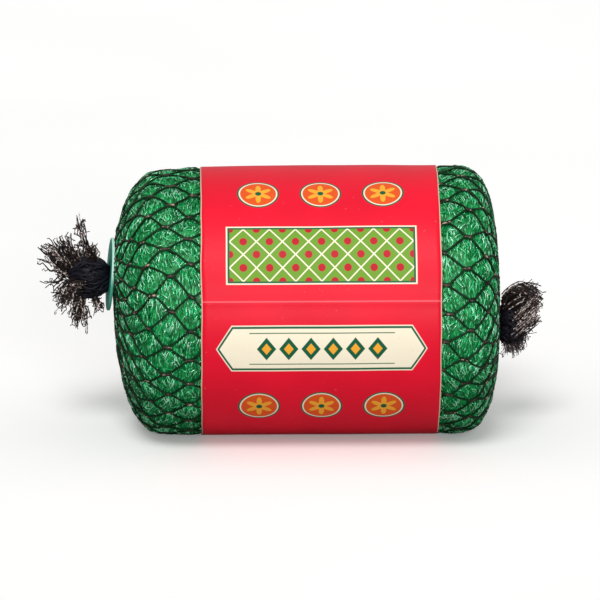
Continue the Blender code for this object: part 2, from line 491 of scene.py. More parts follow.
def new_material(
    name: str, roughness: float, specular: float, metallic: float = 0.0
) -> tuple[Material, NodeSheet, bpy.types.Node]:
    """Starts a material with its shader.

    Args:
        name: the material's name.
        roughness: the shader's roughness.
        specular: the shader's specular level.
        metallic: the shader's metallic value.

    Returns:
        The material, its sheet and its Principled BSDF.
    """
    made = bpy.data.materials.new(name)
    made.use_nodes = True
    shader = made.node_tree.nodes["Principled BSDF"]
    shader.inputs["Roughness"].default_value = roughness
    shader.inputs["Specular IOR Level"].default_value = specular
    shader.inputs["Metallic"].default_value = metallic
    return made, NodeSheet(made.node_tree), shader


# Finishes


@dataclass(frozen=True)
class PlasticFinish:
    """Drawn plastic yarn, film or tape: a base colour with deeper patches and pale flecks, which are
    painted glints.
    """

    name: str
    colour: Colour
    deep: Colour
    pale: Colour
    patch_size: float = 6.0 * MM
    fleck_size: float = 1.2 * MM
    fleck_share: float = 0.4
    roughness: float = 0.46
    specular: float = 0.28
    metallic: float = 0.0
    bump_size: float = 0.8 * MM
    bump: float = 0.15
    bump_depth: float = 0.2 * MM
    streak_map: str = ""
    streak_scale: Point = (1.0, 1.0, 1.0)

    @cache
    def material(self) -> Material:
        """Builds the finish at its first use, and gives the same material after that.

        Returns:
            The material.
        """
        made, sheet, shader = new_material(self.name, self.roughness, self.specular, self.metallic)
        place = sheet.place()
        if self.streak_map:
            run = sheet.add("UVMap", uv_map=self.streak_map).outputs["UV"]
            place = sheet.add("Mapping", {"Vector": run, "Scale": self.streak_scale}).outputs["Vector"]
        patch, fleck = sheet.marks(place, self.patch_size, self.fleck_size, self.fleck_share)
        base = sheet.mix(patch, linear(*self.deep), linear(*self.colour))
        # painted glints: pale flecks over the base colour
        sheet.feed(shader.inputs["Base Color"], sheet.mix(fleck, base, linear(*self.pale)))
        sheet.relief(shader, sheet.noise(place, 1.0 / self.bump_size), self.bump, self.bump_depth)
        return made


YARN_GLOSS = {"roughness": 0.3, "specular": 0.5, "metallic": 0.6}


class Yarn(Enum):
    """The netting's yarn in four tones of one green: a dark one that is painted shade, two mid greens, and
    a pale mint one that is a painted highlight.
    """

    # painted shade: a darker copy of the yarn that stands for the shade deep in the netting
    PAINTED_SHADE = PlasticFinish(
        "yarn_painted_shade", (0, 114, 58), (0, 78, 34), (28, 156, 86), fleck_share=0.2, **YARN_GLOSS
    )
    LEAF = PlasticFinish(
        "yarn_leaf", (6, 168, 90), (0, 124, 58), (88, 214, 144), fleck_share=0.35, **YARN_GLOSS
    )
    FRESH = PlasticFinish(
        "yarn_fresh", (44, 213, 134), (12, 166, 86), (156, 238, 188), fleck_share=0.5, **YARN_GLOSS
    )
    # painted highlight: pale mint lengths of yarn that stand for the yarn's glints
    PAINTED_HIGHLIGHT = PlasticFinish(
        "yarn_painted_highlight", (178, 248, 212), (110, 228, 160), (232, 254, 240), fleck_share=0.45, **YARN_GLOSS
    )


# The netting's body under the yarn: a deeper green than most yarn as painted shade between the lengths,
# with pale flecks as painted glints
CORE_FINISH = PlasticFinish(
    "netting_core",
    (4, 144, 70),
    (0, 86, 38),
    (84, 206, 136),
    patch_size=2.6 * MM,
    fleck_size=0.9 * MM,
    fleck_share=0.55,
    bump_size=0.7 * MM,
    bump=0.7,
    streak_map="NettingRun",
    streak_scale=(0.13, 0.31, 1.0),
)


class Sleeve(Enum):
    """The sleeve's strands, its fused knots and the tones of its gathered ends, where the root's near-black
    is partly painted shade and the glint tone is a painted highlight.
    """

    STRAND = PlasticFinish(
        "sleeve_strand",
        (5, 50, 21),
        (1, 32, 11),
        (104, 90, 72),
        fleck_share=0.2,
        fleck_size=1.6 * MM,
        specular=0.14,
    )
    KNOT = PlasticFinish(
        "sleeve_knot", (66, 52, 42), (30, 24, 20), (176, 150, 128), fleck_share=0.5, fleck_size=1.5 * MM
    )
    # near-black navy of the gathered root: its own dark plastic, darkened further as painted shade inside
    # the packed bundle
    SHADED_ROOT = PlasticFinish(
        "sleeve_root_shaded", (21, 20, 31), (9, 9, 16), (56, 52, 68), fleck_share=0.15, specular=0.2
    )
    FRAY = PlasticFinish(
        "sleeve_fray", (46, 34, 32), (17, 13, 14), (196, 170, 160), fleck_share=0.35, fleck_size=1.4 * MM
    )
    FUZZ = PlasticFinish("sleeve_fuzz", (112, 96, 98), (60, 48, 52), (214, 198, 196), fleck_share=0.5)
    GLINT = PlasticFinish(
        "sleeve_glint", (150, 130, 122), (44, 33, 32), (240, 226, 220), patch_size=2.4 * MM, fleck_share=0.7
    )


@dataclass(frozen=True)
class WasherFinish:
    """Teal plastic sheet with a pale rim that is a painted highlight, palest at the top where the light
    falls, and pale worn flecks.
    """

    colour: Colour = (40, 168, 140)
    deep: Colour = (20, 134, 112)
    # the pale colour of the painted highlight along the rim
    rim: Colour = (196, 242, 226)
    roughness: float = 0.5
    specular: float = 0.25
    patch_size: float = 9 * MM
    fleck_size: float = 1.4 * MM
    fleck_share: float = 0.25
    rim_ease: float = 0.5 * MM
    highlight_levels: tuple[float, float] = (-3 * MM, 5 * MM)
    highlight_at_bottom: float = 0.12
    wear: float = 0.4
    grain: float = 700.0
    bump: float = 0.1
    bump_depth: float = 0.2 * MM

    def material(self, centre: Vector, rim_radius: float) -> Material:
        """Builds the finish.

        Args:
            centre: the washer's middle.
            rim_radius: where the painted highlight on the rim starts.

        Returns:
            The material.
        """
        made, sheet, shader = new_material("washer_teal", self.roughness, self.specular)
        place = sheet.place()
        patch, fleck = sheet.marks(place, self.patch_size, self.fleck_size, self.fleck_share)
        base = sheet.mix(patch, linear(*self.deep), linear(*self.colour))
        away = sheet.add("VectorMath", {0: place, 1: centre}, operation="DISTANCE").outputs["Value"]
        level = sheet.add("SeparateXYZ", {0: place}).outputs["Z"]
        low, high = (centre.z + above for above in self.highlight_levels)
        # painted highlight: the rim is paler towards the top, where the light falls
        rim = sheet.times(
            sheet.ramp(away, rim_radius, rim_radius + self.rim_ease),
            sheet.ramp(level, low, high, self.highlight_at_bottom, 1.0),
        )
        pale = sheet.math("MAXIMUM", rim, sheet.times(fleck, self.wear))
        sheet.feed(shader.inputs["Base Color"], sheet.mix(pale, base, linear(*self.rim)))
        sheet.relief(shader, sheet.noise(place, self.grain), self.bump, self.bump_depth)
        return made


class Ink(Enum):
    """The band's printing inks, and the tones of its bare paper, its fold and its scuffs."""

    RED = linear(238, 16, 48)
    DEEP_RED = linear(190, 10, 34)
    CREAM = linear(250, 240, 214)
    GREEN = linear(12, 92, 62)
    LEAF = linear(112, 158, 44)
    GOLD = linear(246, 172, 52)
    ORANGE = linear(230, 88, 30)
    PAPER = linear(244, 206, 178)
    FOLD = linear(250, 120, 128)
    SCUFF = linear(244, 120, 120)


Rings = tuple[tuple[float, Ink], ...]


@dataclass
class BandFinish:
    """Coated printed paper: red, with a framed lattice panel, a plaque and two rows of roundels.

    The print's sizes and places are millimetres on the flat band, up from the middle of its front.
    """

    width: float
    length: float
    front: float
    map_name: str = "BandSheet"
    roughness: float = 0.44
    specular: float = 0.2
    patch_size: float = 40 * MM
    patch_tone: float = 0.25
    fleck_size: float = 2.2 * MM
    fleck_share: float = 0.12
    scuff_tone: float = 0.3
    grain: Point = (160.0, 4.0, 0.6)
    bump: float = 0.12
    bump_depth: float = 0.4 * MM
    soft_edge: float = 0.22
    hairline: float = 0.6
    fold_half_widths: tuple[float, float] = (0.15, 0.55)
    fold_tone: float = 0.55
    panel_up: float = 24.0
    panel_margin: float = 13.0
    panel_half_height: float = 15.5
    frame_insets: Point = (0.0, 0.7, 1.6)
    lattice_pitch: float = 12.9
    lattice_rise: float = 13.9
    lattice_line: float = 0.045
    lattice_line_ease: float = 0.02
    lattice_spot: float = 0.19
    lattice_spot_ease: float = 0.03
    plaque_up: float = -24.0
    plaque_half_width: float = 50.0
    plaque_half_height: float = 10.5
    plaque_slant: float = 0.6
    plaque_frame: Rings = ((1.7, Ink.CREAM), (1.1, Ink.GREEN), (0.0, Ink.CREAM))
    lozenge_pitch: float = 11.0
    lozenge_slant: float = 0.8
    lozenge_rings: Rings = ((4.8, Ink.GREEN), (2.4, Ink.GOLD))
    lozenges_end: float = 33.0
    rule_up: float = 8.2
    rule_half_width: float = 0.25
    rule_end: float = 36.0
    roundel_rows: tuple[float, float] = (62.0, -60.0)
    roundel_pitch: float = 31.0
    roundels_end: float = 43.4
    roundel_rings: Rings = ((10.4, Ink.GREEN), (9.6, Ink.CREAM), (8.9, Ink.ORANGE))
    petals: float = 6.0
    petal_reach: float = 4.9
    petal_depth: float = 2.1
    dot_radius: float = 1.5

    def __post_init__(self) -> None:
        """Starts the material with its red ground, and finds each point's place on the band."""
        self.made, self.sheet, self.shader = new_material("band_paper", self.roughness, self.specular)
        flat = self.sheet.add("UVMap", uv_map=self.map_name).outputs["UV"]
        grid = self.sheet.add("SeparateXYZ", {0: flat}).outputs
        self.place = self.sheet.place()
        self.middle = self.width / 2
        self.across = self.sheet.times(grid["X"], self.width)
        self.up = self.sheet.less(self.sheet.times(grid["Y"], self.length), self.front)
        self.side = self.sheet.gap(self.across, self.middle)
        marks = self.sheet.marks(self.place, self.patch_size, self.fleck_size, self.fleck_share)
        shade, self.scuff = (
            self.sheet.times(mark, tone) for mark, tone in zip(marks, (self.patch_tone, self.scuff_tone))
        )
        self.colour = self.sheet.mix(shade, Ink.RED.value, Ink.DEEP_RED.value)

    def lay(self, ink: Ink, mask: object) -> None:
        """Lays an ink over the print where the mask is 1."""
        self.colour = self.sheet.mix(mask, self.colour, ink.value)

    def inside(self, distance: object, reach: float) -> Socket:
        """A mask with soft edges: 1 where a distance is under the reach, 0 past it."""
        return self.sheet.ramp(distance, reach - self.soft_edge, reach + self.soft_edge, 1.0, 0.0)

    def print_panel(self) -> None:
        """Prints the framed panel: a lozenge lattice with a round spot in each lozenge."""
        sheet = self.sheet
        frame_at = sheet.math(
            "MAXIMUM",
            sheet.less(self.side, self.middle - self.panel_margin),
            sheet.less(sheet.gap(self.up, self.panel_up), self.panel_half_height),
        )
        column = sheet.math("DIVIDE", sheet.less(self.across, self.middle), self.lattice_pitch)
        row = sheet.math("DIVIDE", sheet.less(self.up, self.panel_up), self.lattice_rise)
        away = [
            sheet.gap(sheet.math("FRACT", sheet.math(slant, column, row)), 0.5)
            for slant in ("ADD", "SUBTRACT")
        ]
        edge = 0.5 - self.lattice_line
        lines = sheet.ramp(sheet.math("MAXIMUM", *away), edge, edge + self.lattice_line_ease)
        centre = sheet.math("SQRT", sheet.math("ADD", *(sheet.times(part, part) for part in away)))
        rim = self.lattice_spot + self.lattice_spot_ease
        spots = sheet.ramp(centre, self.lattice_spot, rim, 1.0, 0.0)
        ground = sheet.mix(spots, Ink.LEAF.value, Ink.DEEP_RED.value)
        ground = sheet.mix(lines, ground, Ink.CREAM.value)
        edging, line, lattice = (self.inside(frame_at, -inset) for inset in self.frame_insets)
        self.lay(Ink.CREAM, edging)
        self.lay(Ink.GREEN, line)
        self.colour = sheet.mix(lattice, self.colour, ground)

    def print_plaque(self) -> None:
        """Prints the cream plaque: pointed ends, a row of lozenges and two rules."""
        sheet, side = self.sheet, self.side
        rise = sheet.gap(self.up, self.plaque_up)
        slant = sheet.times(rise, self.plaque_slant)
        point = sheet.math("ADD", sheet.less(side, self.plaque_half_width), slant)
        outside = sheet.math("MAXIMUM", sheet.less(rise, self.plaque_half_height), point)
        for reach, ink in self.plaque_frame:
            self.lay(ink, self.inside(outside, reach))
        part = sheet.gap(sheet.math("FRACT", sheet.math("DIVIDE", side, self.lozenge_pitch)), 0.5)
        lean = sheet.times(rise, self.lozenge_slant)
        lozenge = sheet.math("ADD", sheet.times(part, self.lozenge_pitch), lean)
        row = self.inside(side, self.lozenges_end)
        for reach, ink in self.lozenge_rings:
            self.lay(ink, sheet.times(self.inside(lozenge, reach), row))
        rule = self.inside(sheet.gap(rise, self.rule_up), self.rule_half_width)
        self.lay(Ink.GREEN, sheet.times(rule, self.inside(side, self.rule_end)))

    def print_roundels(self, row_up: float) -> None:
        """Prints a row of three orange roundels, each with a gold star and a green dot.

        Args:
            row_up: millimetres from the middle of the front up to the row.
        """
        sheet, pitch = self.sheet, self.roundel_pitch
        offset = sheet.less(self.across, self.middle)
        nearest = sheet.math("ROUND", sheet.math("DIVIDE", offset, pitch))
        part = sheet.less(offset, sheet.times(nearest, pitch))
        rise = sheet.less(self.up, row_up)
        away = sheet.math("SQRT", sheet.math("ADD", sheet.times(part, part), sheet.times(rise, rise)))
        turn = sheet.times(sheet.math("ARCTAN2", part, rise), self.petals)
        swing = sheet.times(sheet.math("COSINE", turn), self.petal_depth)
        petal = sheet.math("ADD", swing, self.petal_reach)
        row = self.inside(self.side, self.roundels_end)
        for reach, ink in self.roundel_rings:
            self.lay(ink, sheet.times(self.inside(away, reach), row))
        self.lay(Ink.GOLD, sheet.times(self.inside(sheet.less(away, petal), 0.0), row))
        self.lay(Ink.GREEN, sheet.times(self.inside(away, self.dot_radius), row))

    def material(self) -> Material:
        """Prints every motif, pales a thin line along the fold, and wears the cut edges and the surface.

        Returns:
            The material.
        """
        sheet = self.sheet
        self.print_panel()
        self.print_plaque()
        for row_up in self.roundel_rows:
            self.print_roundels(row_up)
        fold = sheet.math("ABSOLUTE", self.up)
        # a paler pink line along the fold
        self.lay(Ink.FOLD, sheet.ramp(fold, *self.fold_half_widths, self.fold_tone, 0.0))
        end = sheet.less(self.length - self.front, self.up)
        edge = sheet.math("MINIMUM", sheet.less(self.middle, self.side), end)
        self.lay(Ink.PAPER, self.inside(edge, self.hairline))
        self.lay(Ink.SCUFF, self.scuff)
        sheet.feed(self.shader.inputs["Base Color"], self.colour)
        sheet.relief(self.shader, sheet.noise(self.place, *self.grain), self.bump, self.bump_depth)
        return self.made


# Netting


@dataclass
class Netting:
    """The wound netting: a swelling core and thousands of short lengths of yarn that lie on it."""

    form: RollForm
    base: float = -1.8 * MM
    pole_heights: tuple[float, float] = (-1.1 * MM, -1.7 * MM)
    full_radius: float = 42.0 * MM
    swell: float = 1.5 * MM
    swell_under_band: float = 0.9 * MM
    swell_fullness: float = 0.55
    band_reach: float = 6.0 * MM
    core_sink: float = 0.45 * MM
    core_floor: float = 0.3 * MM
    core_cells: int = 8
    core_rows: int = 6
    yarn_radius: float = 0.24 * MM
    yarn_floor: float = 1.1
    yarn_tip: float = 0.6
    yarn_points: int = 5
    yarn_length: tuple[float, float] = (2.8 * MM, 6.0 * MM)
    full_length_radius: float = 40.0 * MM
    least_length: float = 0.45
    yarn_slant: float = math.radians(20.0)
    yarn_bend: float = math.radians(24.0)
    askew_share: float = 0.1
    askew_slant: float = 1.4
    yarn_arch: float = 0.32 * MM
    yarn_arch_drop: float = 0.55
    yarn_lift: float = 0.22 * MM
    yarn_bulge: float = 0.26
    yarn_counts: tuple[tuple[Yarn, int], ...] = (
        (Yarn.PAINTED_SHADE, 2300),
        (Yarn.LEAF, 3900),
        (Yarn.FRESH, 5000),
        (Yarn.PAINTED_HIGHLIGHT, 5400),
    )
    stray_share: float = 0.03
    stray_lift: float = 0.9 * MM
    hidden: float = 2.5 * MM
    band_clearance: float = 0.8 * MM
    band_climb: float = 0.9
    pole_radius: float = 8.0 * MM
    seed: int = 23

    def bulge(self, across: np.ndarray, step: np.ndarray) -> np.ndarray:
        """How far a place lies from the strands: 0 under them and 1 in the middle of a diamond."""
        return np.abs(np.sin(math.pi * (across + step / 2)) * np.sin(math.pi * (across - step / 2)))

    def surface(self, across: np.ndarray, step: np.ndarray) -> np.ndarray:
        """How high the netting stands: swollen in each diamond and drawn in under the strands.

        Args:
            across: diamonds round the roll.
            step: half diamonds along it.

        Returns:
            Metres above the skin.
        """
        free = smoothstep(self.form.past_band(step) / self.band_reach)
        swell = self.swell_under_band + (self.swell - self.swell_under_band) * free
        wide = smoothstep(self.form.radius_at(step) / self.full_radius)
        pole = np.where(step < 0.0, *self.pole_heights)
        filled = pole + (self.base - pole) * wide
        return filled + swell * wide * self.bulge(across, step) ** self.swell_fullness

    def core(self) -> bpy.types.Object:
        """Builds the netting's body: one closed skin with a swelling in each diamond.

        Returns:
            The piece.
        """
        first, last = self.form.steps[0], self.form.steps[-1]
        around = self.form.columns * self.core_cells
        bm, flat = flat_grid(around, round((last - first) * self.core_rows), CORE_FINISH.streak_map)
        across = (flat[:, 0] + 0.5) * self.form.columns
        step = first + (flat[:, 1] + 0.5) * (last - first)
        height = self.surface(across, step) - self.core_sink
        for vert, point in zip(bm.verts, self.form.place(across, step, height, self.core_floor)):
            vert.co = point
        bmesh.ops.remove_doubles(bm, verts=bm.verts, dist=GRID_MERGE)
        bmesh.ops.holes_fill(bm, edges=[edge for edge in bm.edges if edge.is_boundary], sides=0)
        mesh = mesh_of(bm, "netting_core")
        return add_piece("netting_core", mesh, CORE_FINISH.material())

    def yarn(self, tone: PlasticFinish, count: int, draw: np.random.Generator) -> None:
        """Lays short lengths of yarn over the core, mostly round the roll.

        Args:
            tone: the yarn's finish.
            count: how many lengths.
            draw: the source of random numbers.
        """
        form, steps = self.form, self.form.steps
        weight = form.ring * form.step_length * np.gradient(steps)
        hidden = form.past_band(steps) < -self.hidden
        weight[hidden | (form.ring < self.pole_radius)] = 0.0
        share = np.cumsum(weight) / weight.sum()
        start = np.interp(draw.random(3 * count), share, steps)
        across = draw.uniform(0.0, form.columns, 3 * count)
        free = np.flatnonzero(self.bulge(across, start) > self.yarn_bulge)[:count]
        start, across, count = start[free], across[free], len(free)
        radius = form.radius_at(start)
        shortened = np.clip(radius / self.full_length_radius, self.least_length, 1.0)
        length = draw.uniform(*self.yarn_length, count) * shortened
        along = np.linspace(-0.5, 0.5, self.yarn_points)
        slant = draw.normal(0.0, self.yarn_slant, count)
        askew = draw.random(count) < self.askew_share
        slant += np.where(askew, draw.uniform(-self.askew_slant, self.askew_slant, count), 0.0)
        bend = draw.normal(0.0, self.yarn_bend, count)
        heading = slant[:, None] + bend[:, None] * along
        stride = (length / (self.yarn_points - 1))[:, None]
        diamond = math.tau * radius[:, None] / form.columns
        half_diamond = np.interp(start, steps, form.step_length)[:, None]
        across = across[:, None] + np.cumsum(np.cos(heading) * stride, axis=1) / diamond
        step = start[:, None] + np.cumsum(np.sin(heading) * stride, axis=1) / half_diamond
        arch = self.yarn_arch * (1.0 - (2.0 * along) ** 2 - self.yarn_arch_drop)
        height = self.surface(across, step) + arch + draw.uniform(0.0, self.yarn_lift, count)[:, None]
        stray = draw.random(count) < self.stray_share
        loose = np.maximum(along * 2.0, 0.0) ** 2 * self.stray_lift
        height += np.where(stray[:, None], loose, 0.0)
        climb = np.maximum(form.past_band(step), 0.0) * self.band_climb
        height = np.minimum(height, climb - self.band_clearance)
        paths = form.place(across, step, height, self.yarn_radius * self.yarn_floor)
        radii = np.full(paths.shape[:2], self.yarn_radius)
        radii[:, (0, -1)] *= self.yarn_tip
        add_piece(tone.name, strand_mesh(tone.name, paths, radii, 4), tone.material())

    def build(self) -> None:
        """Builds and dresses the core and every tone of yarn."""
        draw = np.random.default_rng(self.seed)
        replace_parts(self.core(), "netting_roll")
        for tone, count in self.yarn_counts:
            self.yarn(tone.value, count, draw)


# Sleeve


@dataclass
class MeshSleeve:
    """The stretched sleeve: strands that run from end to end and fuse side by side at each knot."""

    form: RollForm
    strand_radius: float = 0.58 * MM
    strand_uneven: tuple[float, float] = (0.9, 1.12)
    mean_line: float = 0.25
    touching: float = 0.95
    least_reach: float = 0.06
    depth: float = 0.66 * MM
    points_a_step: int = 6
    flat_part: float = 1.4
    neck_radius: float = 30.0 * MM
    neck_rise: float = 0.6
    neck_heap: float = 0.7 * MM
    neck_layers: tuple[float, float] = (-1.0, 0.6)
    neck_sink: float = 0.6 * MM
    wobble: float = 0.12 * MM
    knot_radius: float = 0.74 * MM
    knot_lift: float = 0.12 * MM
    knot_length: float = 0.2
    knot_lengths: tuple[float, float] = (0.75, 1.25)
    knot_uneven: tuple[float, float] = (0.85, 1.2)
    knot_lean: float = 0.02
    knot_spots: tuple[float, ...] = (-1.0, -0.6, 0.0, 0.6, 1.0)
    knot_swell: tuple[float, ...] = (0.35, 0.85, 1.0, 0.85, 0.35)
    knot_edge: float = 0.5 * MM
    pressed: float = 1.1 * MM
    press_start: float = -1.4 * MM
    press_reach: float = 3.5 * MM
    seed: int = 5

    def swing(self, step: np.ndarray) -> np.ndarray:
        """Where a strand is between its two knots: 1 at even steps, -1 at odd ones, flat at both."""
        wave = 1.0 - 2.0 * np.abs((step / 2.0) % 1.0 * 2.0 - 1.0)
        return np.clip(-wave * self.flat_part, -1.0, 1.0)

    def press(self, step: np.ndarray) -> np.ndarray:
        """How far the band presses the sleeve into the netting at a step, in metres."""
        under = -self.form.past_band(step) - self.press_start
        return self.pressed * smoothstep(under / self.press_reach)

    def strands(self) -> bpy.types.Object:
        """Builds the strands.

        Returns:
            The piece.
        """
        form, draw = self.form, np.random.default_rng(self.seed)
        first, last = form.steps[0], form.steps[-1]
        ticks = np.arange(math.ceil(first * self.points_a_step), math.floor(last * self.points_a_step) + 1)
        step = np.concatenate(([first], ticks / self.points_a_step, [last]))[None, :]
        index = np.arange(2 * form.columns)[:, None]
        radius = form.radius_at(step)
        touching = self.strand_radius * self.touching / (math.tau * radius / form.columns)
        reach = np.maximum(self.mean_line - touching, self.least_reach)
        side = np.where(index % 2 == 0, 1.0, -1.0)
        across = index / 2.0 + self.mean_line - side * reach * self.swing(step)
        heap = smoothstep(1.0 - radius / self.neck_radius)
        height = -self.depth * (1.0 - self.neck_rise * heap)
        height = height + draw.normal(0.0, 1.0, across.shape) * self.wobble
        layer = self.neck_heap * draw.uniform(*self.neck_layers, (len(index), 1))
        height = height + heap * (layer - self.neck_sink) - self.press(step)
        paths = form.place(across, step + np.zeros_like(across), height, self.strand_radius)
        radii = np.full(paths.shape[:2], self.strand_radius)
        radii *= draw.uniform(*self.strand_uneven, radii.shape)
        mesh = strand_mesh("sleeve_strands", paths, radii, 6)
        return add_piece("sleeve_strands", mesh, Sleeve.STRAND.value.material())

    def knots(self) -> None:
        """Builds the fused knots where two strands touch."""
        form, draw = self.form, np.random.default_rng(self.seed + 1)
        numbers = np.arange(math.ceil(form.steps[0]), math.floor(form.steps[-1]) + 1)
        step, column = np.meshgrid(numbers.astype(float), np.arange(form.columns), indexing="ij")
        seen = (form.radius_at(step) > self.neck_radius) & (form.past_band(step) > -self.knot_edge)
        step, column = step[seen], column[seen]
        across = column + (step % 2.0) * 0.5
        spots = np.array(self.knot_spots)
        reach = draw.uniform(*self.knot_lengths, len(step))[:, None] * self.knot_length
        lean = draw.normal(0.0, self.knot_lean, len(step))[:, None]
        steps = step[:, None] + spots * reach
        height = self.knot_lift - self.depth - self.press(steps)
        paths = form.place(across[:, None] + spots * lean, steps, height, self.knot_radius)
        swollen = np.array(self.knot_swell) * self.knot_radius
        radii = swollen * draw.uniform(*self.knot_uneven, (len(step), 1))
        mesh = strand_mesh("sleeve_knots", paths, radii, 6)
        add_piece("sleeve_knots", mesh, Sleeve.KNOT.value.material())

    def build(self) -> None:
        """Builds and dresses the strands and the knots."""
        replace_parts(self.strands(), "mesh_sleeve")
        self.knots()


# Gathered ends


@dataclass(frozen=True)
class Spray:
    """A bundle of strands that all pass four gates, each a box given by two corners in mm."""

    count: int
    gates: tuple[Gate, ...]
    thickness: float = 0.8
    tip: float = 0.5
    wiggle: float = 0.9
    loose: float = 0.16
    points: int = 9
    stray: float = 1.6
    waves: Point = (1.3, 2.9, 5.3)
    wave_fade: float = 0.8
    uneven: tuple[float, float] = (0.75, 1.2)

    def paths(self, draw: np.random.Generator) -> np.ndarray:
        """Draws the strands as smooth curves through the gates, with a small waviness.

        Args:
            draw: the source of random numbers.

        Returns:
            The paths in metres, as strands x points x 3.
        """
        along = np.linspace(0.0, 1.0, self.points)[None, :, None]
        turn = draw.uniform(0.0, math.tau, (self.count, 1))
        reach = np.sqrt(draw.random((self.count, 1))) / 2.0
        depth = draw.random((self.count, 1))
        shared = np.stack((depth, 0.5 + reach * np.cos(turn), 0.5 + reach * np.sin(turn)), axis=-1)
        corners = []
        for low, high in self.gates:
            part = shared + draw.uniform(-self.stray, self.stray, shared.shape) * self.loose
            corners.append(np.array(low) + (np.array(high) - np.array(low)) * part)
        back = 1.0 - along
        weights = (back**3, 3 * back**2 * along, 3 * back * along**2, along**3)
        paths = sum(weight * corner for weight, corner in zip(weights, corners))
        for waves in self.waves:
            phase = draw.uniform(0.0, math.tau, (self.count, 1, 3))
            size = draw.normal(0.0, self.wiggle / waves**self.wave_fade, (self.count, 1, 3))
            paths = paths + size * np.sin(math.tau * waves * along + phase) * along
        return paths * MM

    def radii(self, draw: np.random.Generator) -> np.ndarray:
        """The strands' radii in metres, thinner towards the tips."""
        taper = np.linspace(1.0, self.tip, self.points)[None, :]
        return taper * draw.uniform(*self.uneven, (self.count, 1)) * self.thickness / 2 * MM


LOCK_BEND = (0.6, 0.4)
LOCK_SPREAD = (0.55, 0.6, 0.75, 1.0)


def lock(count: int, start: Point, middle: Point, end: Point, spread: float) -> Spray:
    """A ragged lock that widens towards its end.

    Args:
        count: how many strands it has.
        start: where it leaves the root, in mm.
        middle: a place that it passes.
        end: where it ends.
        spread: how wide it ends, half its width in mm.

    Returns:
        The lock as a spray.
    """
    bend = np.add(*(np.multiply(spot, share) for spot, share in zip((start, middle), LOCK_BEND)))
    gates = tuple(
        (tuple(np.subtract(centre, spread * share)), tuple(np.add(centre, spread * share)))
        for centre, share in zip((start, bend, middle, end), LOCK_SPREAD)
    )
    return Spray(count, gates, tip=0.7, wiggle=1.2, loose=0.12, points=13)


